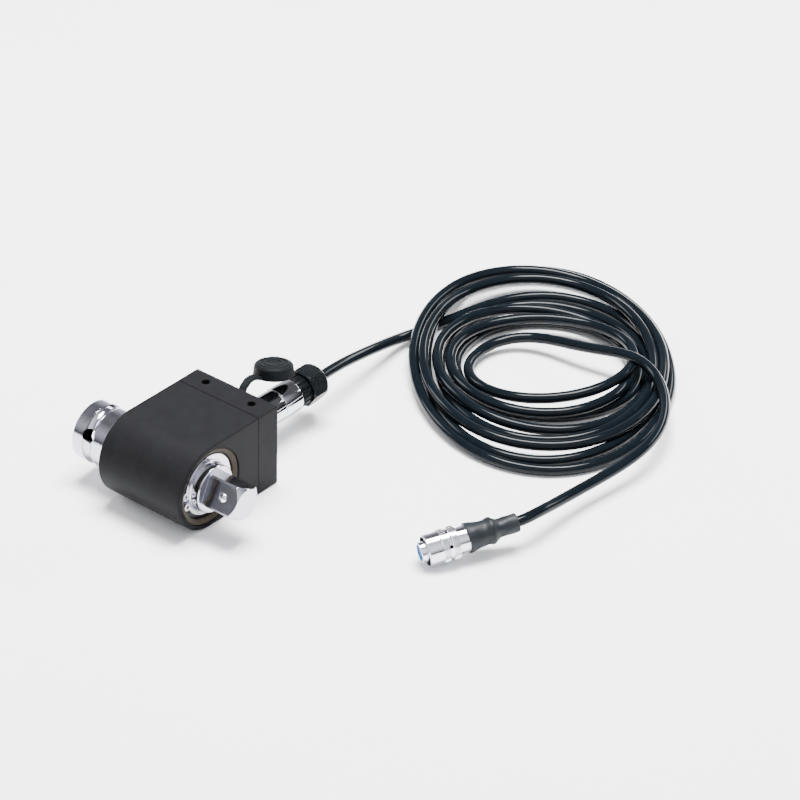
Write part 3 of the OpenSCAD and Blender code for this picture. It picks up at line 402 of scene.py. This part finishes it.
spring_mesh.materials.append(
    grained("spring_steel", "#8f9093", "#6c6d70", (0.25, 0.4), 0.4, 0.002, shader={"Metallic": 1.0}))
spring = placed("detent_spring_coil", spring_mesh)
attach(spring, "shaft")
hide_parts("detent_spring")
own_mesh(spring)

# Circlip: spring steel, stamped, and sprung into the shaft's groove by the holes in its two lugs.
# It is bright, with soft uneven lights.
dress(grained("circlip_steel", "#dcdce2", "#c4c4ca", (0.14, 0.26), 0.6, 0.002,
              shader={"Metallic": 1.0}, edge=0.15), "front_circlip")

# Seal rings: brown-grey nitrile rubber, moulded and pressed into the mouths of the bore.
# They look flat and warm between the black housing and the bright shaft.
dress(grained("seal_rubber", "#453f34", "#332e27", (0.5, 0.62), 0.4, 0.008,
              shader={"Specular IOR Level": 0.08}, edge=0.2),
      "front_seal_ring", "rear_seal_ring")

# Ball bearings: ground steel rings and balls, a pressed brass cage and a dark shield, fitted between
# the shaft and the bore. Grinding lines run round the steel, the brass is a warm yellow and the shield
# is a dull black.
dress(grained("bearing_steel", "#b9bbc0", "#a2a4aa", (0.12, 0.22), 0.3, 0.001, stretch=(1, 0.1, 0.1),
              shader={"Metallic": 1.0}),
      "front_outer_ring", "front_inner_ring", "front_balls",
      "rear_outer_ring", "rear_inner_ring", "rear_balls")
dress(grained("cage_brass", "#c9a557", "#a98640", (0.25, 0.4), 0.6, 0.003, shader={"Metallic": 1.0}),
      "front_cage", "rear_cage")
dress(grained("shield_black", "#1c1c1e", "#131314", (0.4, 0.55), 0.5, 0.004, edge=0.1),
      "front_shield", "rear_shield")

# Slip rings: turned silver rings on a moulded resin hub, with foil gauges bonded to the shaft's waist.
# The silver shines in fine lines, the resin is a dull brown, and the foil is copper coloured, with
# lines along the shaft.
dress(grained("hub_resin", "#3b2f26", "#2c231c", (0.35, 0.5), 0.8, 0.004), "slip_ring_hub")
dress(grained("ring_silver", "#d8d6cf", "#bbb9b1", (0.12, 0.22), 0.2, 0.001, stretch=(1, 0.1, 0.1),
              shader={"Metallic": 1.0}), "slip_rings")
dress(grained("gauge_foil", "#c58a4c", "#a56f38", (0.25, 0.4), 0.3, 0.002, stretch=(0.2, 1, 1),
              shader={"Metallic": 0.6}), "strain_gauges")

# Brushes: graphite rods in a moulded block, on a green laminate board with brass spacers and screws.
# Graphite and block are dull greys, the board has the sheen of its lacquer, and the spacers and the
# zinc-plated screws are bright.
dress(grained("block_resin", "#2a2b2d", "#1e1f20", (0.4, 0.55), 0.6, 0.006), "brush_block")
dress(grained("brush_graphite", "#3a3a3c", "#262628", (0.35, 0.55), 0.25, 0.01), "brushes")
dress(grained("board_laminate", "#1d5a35", "#154527", (0.25, 0.4), 0.5, 0.004), "circuit_board")
dress(grained("spacer_brass", "#c7a255", "#a98440", (0.2, 0.32), 0.3, 0.001, shader={"Metallic": 1.0}),
      "board_spacers")
dress(grained("zinc_steel", "#c3c5c8", "#a5a8ac", (0.22, 0.36), 0.5, 0.002, shader={"Metallic": 1.0}),
      "board_screws")

# Panel socket: a turned brass shell, chrome plated, with a moulded black insert and gold-plated pins.
# The plating mirrors the room, the insert is dull, and the pins are a bright yellow. The plug that
# fits it has an insert of the same kind, and every contact is gold plated.
chrome = grained("chrome_brass", "#dcdfe4", "#d0d3d9", (0.05, 0.09), 1.5, 0.0003, shader={"Metallic": 1.0})
insert_black = grained("insert_black", "#1b1b1d", "#131314", (0.35, 0.5), 0.5, 0.004)
gold = grained("contact_gold", "#e0b95c", "#c59c42", (0.12, 0.22), 0.5, 0.001, shader={"Metallic": 1.0})
dress(chrome, "panel_socket")
dress(insert_black, "socket_insert", "plug_insert")
dress(gold, "socket_pins", "plug_contacts", "end_contacts")


# Dust cap: one moulding of black rubber. Its ring sits under the socket's flange, and a strap
# holds the cap, which hangs open above the plug. The fine-pored skin takes the shine off the black.
def axis(origin, direction):
    """Place of a turned piece whose own Z axis runs along a direction, with its origin in mm."""
    turn = Vector((0, 0, 1)).rotation_difference(Vector(direction)).to_matrix().to_4x4()
    return Matrix.Translation(Vector(origin) / 1000) @ turn


def softened(profile, size):
    """Rounds the corners of a closed profile of (radius, distance) points."""
    made = []
    for i, p in enumerate(profile):
        before, after = Vector(profile[i - 1]), Vector(profile[(i + 1) % len(profile)])
        p = Vector(p)
        if p.x == 0:
            made.append(tuple(p))
            continue
        a = p + (before - p).normalized() * min(size, (before - p).length * 0.45)
        b = p + (after - p).normalized() * min(size, (after - p).length * 0.45)
        made += [tuple((1 - t) ** 2 * a + 2 * t * (1 - t) * p + t * t * b) for t in (0, 0.25, 0.5, 0.75, 1)]
    return made


def turned(profile, place, sides=96, shape=None):
    """Turns a closed profile of (radius, distance) points in mm about Z and puts it in its place."""
    made = bmesh.new()
    rings = []
    for r, d in profile:
        ring = []
        for k in range(1 if r == 0 else sides):
            angle = 2 * math.pi * k / sides
            reach = shape(r, d, angle) if shape else (r, d)
            spot = Vector((reach[0] * math.cos(angle), reach[0] * math.sin(angle), reach[1])) / 1000
            ring.append(made.verts.new(place @ spot))
        rings.append(ring)
    for a, b in zip(rings, rings[1:] + rings[:1]):
        if len(a) == 1 and len(b) == 1:
            continue
        for k in range(sides):
            after = (k + 1) % sides
            face = [a[k % len(a)], a[after % len(a)], b[after % len(b)], b[k % len(b)]]
            made.faces.new(list(dict.fromkeys(face)))
    bmesh.ops.recalc_face_normals(made, faces=made.faces)
    return made


def bridged(made, rings):
    """Joins rings of points into a closed tube."""
    for a, b in zip(rings, rings[1:]):
        for k in range(len(a)):
            after = (k + 1) % len(a)
            made.faces.new((a[k], a[after], b[after], b[k]))
    made.faces.new(rings[0])
    made.faces.new(rings[-1])
    bmesh.ops.recalc_face_normals(made, faces=made.faces)


def piece(name, parts, made, body, slot, *nodes):
    """Joins meshes into one piece that rides on a body and stands for CAD nodes."""
    whole = bmesh.new()
    for part in parts:
        mesh = bpy.data.meshes.new(name)
        part.to_mesh(mesh)
        part.free()
        whole.from_mesh(mesh)
        bpy.data.meshes.remove(mesh)
    mesh = bpy.data.meshes.new(name)
    whole.to_mesh(mesh)
    whole.free()
    mesh.materials.clear()
    mesh.materials.append(made)
    mesh.shade_smooth()
    mesh.set_sharp_from_angle(angle=math.radians(38))
    obj = placed(name, mesh)
    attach(obj, body)
    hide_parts(*nodes)
    return obj


rubber = grained(
    "cap_rubber", "#111416", "#0d0f11", (0.48, 0.6), 0.6, 0.012, shader={"Specular IOR Level": 0.06})
back_face, socket_z = 38.9, 16.5
cap_ring = turned(softened([(6.05, 0), (9.2, 0), (9.2, 1.8), (6.05, 1.8)], 0.35),
                  axis((0, back_face, socket_z), (0, 1, 0)))
cap_place = (
    Matrix.Translation(Vector((-3.5, back_face + 26.3, socket_z + 17)) / 1000)
    @ Matrix.Rotation(math.radians(38), 4, "Z") @ Matrix.Rotation(math.radians(-11), 4, "X"))
cap = turned(softened([
    (0, 0), (3.1, 0), (3.2, 0.3), (3.8, 0.3), (3.9, 0), (5.3, 0), (5.4, 0.3), (6, 0.3), (6.1, 0), (7.0, 0),
    (7.9, -0.9), (8.4, -4.9), (8.1, -5.2), (6.9, -5.2), (6.9, -1.5), (0, -1.5)], 0.3), cap_place)
tab_at, tab_size, tab_edge = (0, 0.0072, -0.0011), (0.0032, 0.002, 0.0015, 1), 0.0003
tab = bmesh.new()
bmesh.ops.create_cube(
    tab, size=1, matrix=cap_place @ Matrix.Translation(tab_at) @ Matrix.Diagonal(tab_size))
bmesh.ops.bevel(tab, geom=tab.edges[:], offset=tab_edge, segments=3, affect="EDGES", profile=0.5)
strap_route = [
    (-0.3, 0.9, 8), (-0.6, 1.7, 11), (-1.1, 3.5, 13.8), (-1.7, 6.1, 16.1), (-2.4, 9.3, 17.1), (-3, 12.5, 16.7),
    (-3.4, 15.3, 15.5), (-3.6, 18, 13.9)]
strap_section = (
    (-1.7, -0.35), (-1.35, -0.75), (1.35, -0.75), (1.7, -0.35),
    (1.7, 0.35), (1.35, 0.75), (-1.35, 0.75), (-1.7, 0.35))
strap = bmesh.new()
strap_rings = []
strap_points = [Vector(p) + Vector((0, back_face, socket_z)) for p in strap_route]
for i, p in enumerate(strap_points):
    run = (strap_points[min(i + 1, len(strap_points) - 1)] - strap_points[max(i - 1, 0)]).normalized()
    side = Vector((1, 0, 0)) - run * run.x
    side.normalize()
    up = run.cross(side)
    strap_rings.append([strap.verts.new((p + side * x + up * y) / 1000) for x, y in strap_section])
bridged(strap, strap_rings)
piece("dust_cap_moulding", [cap_ring, cap, tab, strap], rubber, "sensor", "cap_rubber", "dust_cap")

# Coupling ring: turned brass, chrome plated, that screws the plug to the socket.
# It has the socket's mirror finish, which shows the table below and the cap above.
plug_axis = axis((0, 0, socket_z), (0, 1, 0))
piece("coupling_ring_chrome", [turned(softened([
    (6.4, 44.6), (7, 44.6), (7, 61.4), (5.4, 61.4), (5.4, 57.1), (6.2, 57.1), (6.2, 45)], 0.4), plug_axis)],
    chrome, "coupling", "chrome_brass", "coupling_ring")

# Plug barrel: turned brass, chrome plated, in line with the coupling ring and screwed to the back
# shell. Its finish is the ring's, so the two read as one bright tube with a fine joint.
piece("plug_barrel_chrome", [turned(softened([
    (4.3, 51), (5, 51), (5.35, 52.9), (5.35, 55.4), (6, 55.4), (6, 56.8), (5.35, 56.8), (5.35, 61.65),
    (7, 61.65), (7, 71.75), (5.25, 71.75), (5.25, 63.15), (4.3, 63.15)], 0.4), plug_axis)],
    chrome, "sensor", "chrome_brass", "plug_barrel")


# Back shell: moulded black nylon, with a row of ribs for the fingers, screwed into the barrel.
# Its fine matt grain keeps it black beside the chrome.
def repeated(shape, material, count, rows, pitch):
    """Copies a shape round its own Z axis, row by row with half a step between, into one mesh."""
    tree = bpy.data.node_groups.new("rows_round_axis", "GeometryNodeTree")
    for name, kind in (
            ("Shape", "Geometry"), ("Count", "Int"), ("Rows", "Int"), ("Pitch", "Float"),
            ("Material", "Material")):
        tree.interface.new_socket(name, in_out="INPUT", socket_type="NodeSocket" + kind)
    tree.interface.new_socket("Mesh", in_out="OUTPUT", socket_type="NodeSocketGeometry")
    given = add(tree, "NodeGroupInput").outputs
    number = add(tree, "GeometryNodeInputIndex").outputs[0]
    row = computed(tree, "FLOOR", computed(tree, "DIVIDE", number, given["Count"]))
    part = computed(tree, "DIVIDE", computed(tree, "MULTIPLY_ADD", row, 0.5, number), given["Count"])
    spot = add(tree, "ShaderNodeCombineXYZ", {2: computed(tree, "MULTIPLY", row, given["Pitch"])})
    turn = add(tree, "ShaderNodeCombineXYZ", {2: computed(tree, "MULTIPLY", part, 2 * math.pi)})
    points = add(tree, "GeometryNodePoints", {
        "Count": computed(tree, "MULTIPLY", given["Count"], given["Rows"]), "Position": spot.outputs[0]})
    copies = add(tree, "GeometryNodeInstanceOnPoints", {
        "Points": points.outputs[0], "Instance": given["Shape"], "Rotation": turn.outputs[0]})
    solid = add(tree, "GeometryNodeRealizeInstances", {0: copies.outputs[0]})
    coated = add(tree, "GeometryNodeSetMaterial", {"Geometry": solid.outputs[0], "Material": given["Material"]})
    add(tree, "NodeGroupOutput", {"Mesh": coated.outputs[0]})
    mesh = bpy.data.meshes.new("one_copy")
    shape.to_mesh(mesh)
    shape.free()
    seed = placed("one_copy", mesh)
    copier = seed.modifiers.new("rows_round_axis", "NODES")
    copier.node_group = tree
    values = {"Count": count, "Rows": rows, "Pitch": pitch, "Material": material}
    for socket in tree.interface.items_tree:
        if socket.in_out == "INPUT" and socket.name in values:
            copier[socket.identifier] = values[socket.name]
    plain = frozen(seed)
    made = bmesh.new()
    made.from_mesh(plain)
    bpy.data.meshes.remove(plain)
    return made


nylon = grained("black_nylon", "#0c1013", "#080b0d", (0.34, 0.44), 0.7, 0.003,
                shader={"Specular IOR Level": 0.05}, edge=0.25)
rib_count = 16
rib_outline = [(-0.9, 6.0), (-0.85, 6.45), (-0.6, 6.6), (0.6, 6.6), (0.85, 6.45), (0.9, 6.0)]
rib = bmesh.new()
bridged(rib, [[rib.verts.new((r * s / 1000, x / 1000, d / 1000)) for x, r in rib_outline]
              for d, s in ((0.4, 0.97), (0.8, 1), (5.2, 1), (5.6, 0.97))])
ribs = repeated(rib, nylon, rib_count, 1, 0.0)
ribs.transform(axis((0, 71.75, socket_z), (0, 1, 0)))
shell = turned(softened([
    (3.8, 68.5), (5.2, 68.5), (5.2, 71.75), (6.2, 71.75), (6.2, 77.75), (5.2, 77.75), (5.2, 83.9), (4.4, 83.9),
    (4.4, 78.95), (3.8, 78.95)], 0.2), plug_axis)
piece("back_shell", [ribs, shell], nylon, "sensor", "black_nylon", "plug_backshell")

# Gland nut: moulded black nylon, domed, and screwed down on a rubber ring that grips the cable.
# It is glossier than the shell, so its flats catch faint lights. The rubber is a dull dark grey.
dress(grained("glossy_nylon", "#0f1315", "#0b0e10", (0.24, 0.34), 0.7, 0.003,
              shader={"Specular IOR Level": 0.16}, edge=0.25), "gland_nut")
dress(grained("gland_rubber", "#2c2c2c", "#202020", (0.55, 0.7), 0.6, 0.01), "gland_seal")


# Shrink sleeve: grey-black heat-shrink tube, drawn down over the cable clamp and the back of the
# cable plug. It is tight at the waist and lumped and wrinkled over the clamp. Its dull skin shows the
# lumps by soft broad lights.
def shrunk(r, d, angle):
    """Lumps of the tube over the clamp and its wavy rim. Its bore and its seat on the plug stay round."""
    bore_r, seat_r, seat_d, clamp_d, wrinkle_d, rim_d = 2.5, 5.4, 18, 10.8, 8.5, 20.8
    if r < bore_r or (d > seat_d and r < seat_r):
        return r, d
    lump = math.exp(-((d - clamp_d - 0.7 * math.cos(angle + 0.6)) / 1.5) ** 2)
    wave = 0.08 * math.sin(3 * angle + 0.9) * math.exp(-((d - wrinkle_d) / 3) ** 2)
    wave += 0.05 * math.sin(5 * angle + d) + 0.04 * math.sin(2 * angle - 0.7 * d)
    rim = math.exp(-((d - rim_d) / 1.2) ** 2)
    swell = 0.2 * lump * (1 + 0.25 * math.sin(2 * angle))
    return r + swell + wave * (1 - rim), d + 0.12 * rim * math.sin(2 * angle)


cable_plug = axis((119.3, 66.4, 11.577), (-0.50113, -0.85415, -0.13917))
radii = [
    (0, 3.6), (0.2, 3.75), (4, 3.76), (8, 3.8), (9.4, 4.5), (10.3, 5.1), (10.8, 5.25), (11.5, 5.15),
    (13.4, 4.9), (16.8, 5.32), (20.8, 6.1), (21, 5.95)]
steps = np.concatenate([np.array([0, 0.1, 0.2]), np.linspace(0.6, 20.5, 46), np.array([20.8, 20.9, 21])])
outer = [(float(np.interp(d, *zip(*radii))), float(d)) for d in steps]
tube = turned(outer + [(5.31, 21), (5.31, 18.4), (2.3, 18.4), (2.3, 0)], cable_plug, 64, shrunk)
shrink = piece(
    "shrink_sleeve_tube", [tube],
    grained("shrink_tube", "#181d21", "#12161a", (0.42, 0.55), 1.2, 0.01, shader={"Specular IOR Level": 0.2}),
    "sensor", "shrink_tube", "shrink_sleeve")

# Cable plug body: turned brass, chrome plated, with a thin tube round the insert at its front.
# The satin plating is bright, with lights a little blurred.
satin = grained("satin_chrome", "#eaeaf2", "#dadae3", (0.08, 0.14), 0.5, 0.0004, shader={"Metallic": 1.0})
plug_body = piece("cable_plug_body", [turned(softened([
    (2.3, 18.4), (5.3, 18.4), (5.3, 28.2), (4.2, 28.2), (4.2, 40.3), (3.46, 40.3), (3.46, 22), (2.3, 22)], 0.2),
    cable_plug)], satin, "sensor", "chrome_brass", "end_plug_body")

# Release sleeve: turned brass, chrome plated, with two knurled bands and a black dot that shows
# which way up it goes; it is pulled back to unlock. The knurling breaks the bright plating up into
# an even grey.
knurl_tip, knurl_foot, knurl_half, knurl_count, knurl_rows = 6.6, 6.34, 0.25, 80, 9
dot_at, dot_r = (109.46, 38.62, 10.2), 0.7
knurl = bmesh.new()
tip = knurl.verts.new((knurl_tip / 1000, 0, 0))
foot = [knurl.verts.new((knurl_foot / 1000, x / 1000, d / 1000)) for x, d in (
    (knurl_half, 0), (0, knurl_half), (-knurl_half, 0), (0, -knurl_half))]
for k in range(4):
    knurl.faces.new((foot[k], foot[(k + 1) % 4], tip))
knurl.faces.new(foot[::-1])
bmesh.ops.recalc_face_normals(knurl, faces=knurl.faces)
bands = []
for first in (25.75, 29.85):
    band = repeated(knurl.copy(), satin, knurl_count, knurl_rows, knurl_half / 1000)
    band.transform(cable_plug @ Matrix.Translation((0, 0, first / 1000)))
    bands.append(band)
knurl.free()
sleeve = turned(softened([
    (5.4, 25.2), (6.2, 25.2), (6.38, 25.45), (6.38, 28.05), (6.15, 28.25), (6.15, 29.4), (6.38, 29.6),
    (6.38, 32.05), (6.3, 32.3), (6.35, 37.7), (6.1, 38), (5.85, 38), (5.85, 29.2), (5.4, 29.2)], 0.12),
    cable_plug)
marked = satin.copy()
marked.name = "dotted_satin_chrome"
darkened(marked, dot_at, None, dot_r, "#0b0b0c")
release = piece("release_sleeve_chrome", [sleeve, *bands], marked, "release", "chrome_brass", "release_sleeve")

# Insert: moulded blue plastic that holds the cable plug's gold-plated contacts.
# It is dull, so that its blue stays deep inside the bright tube.
dress(grained("insert_blue", "#0061a8", "#005590", (0.42, 0.52), 0.5, 0.002,
              shader={"Specular IOR Level": 0.08}), "end_insert")
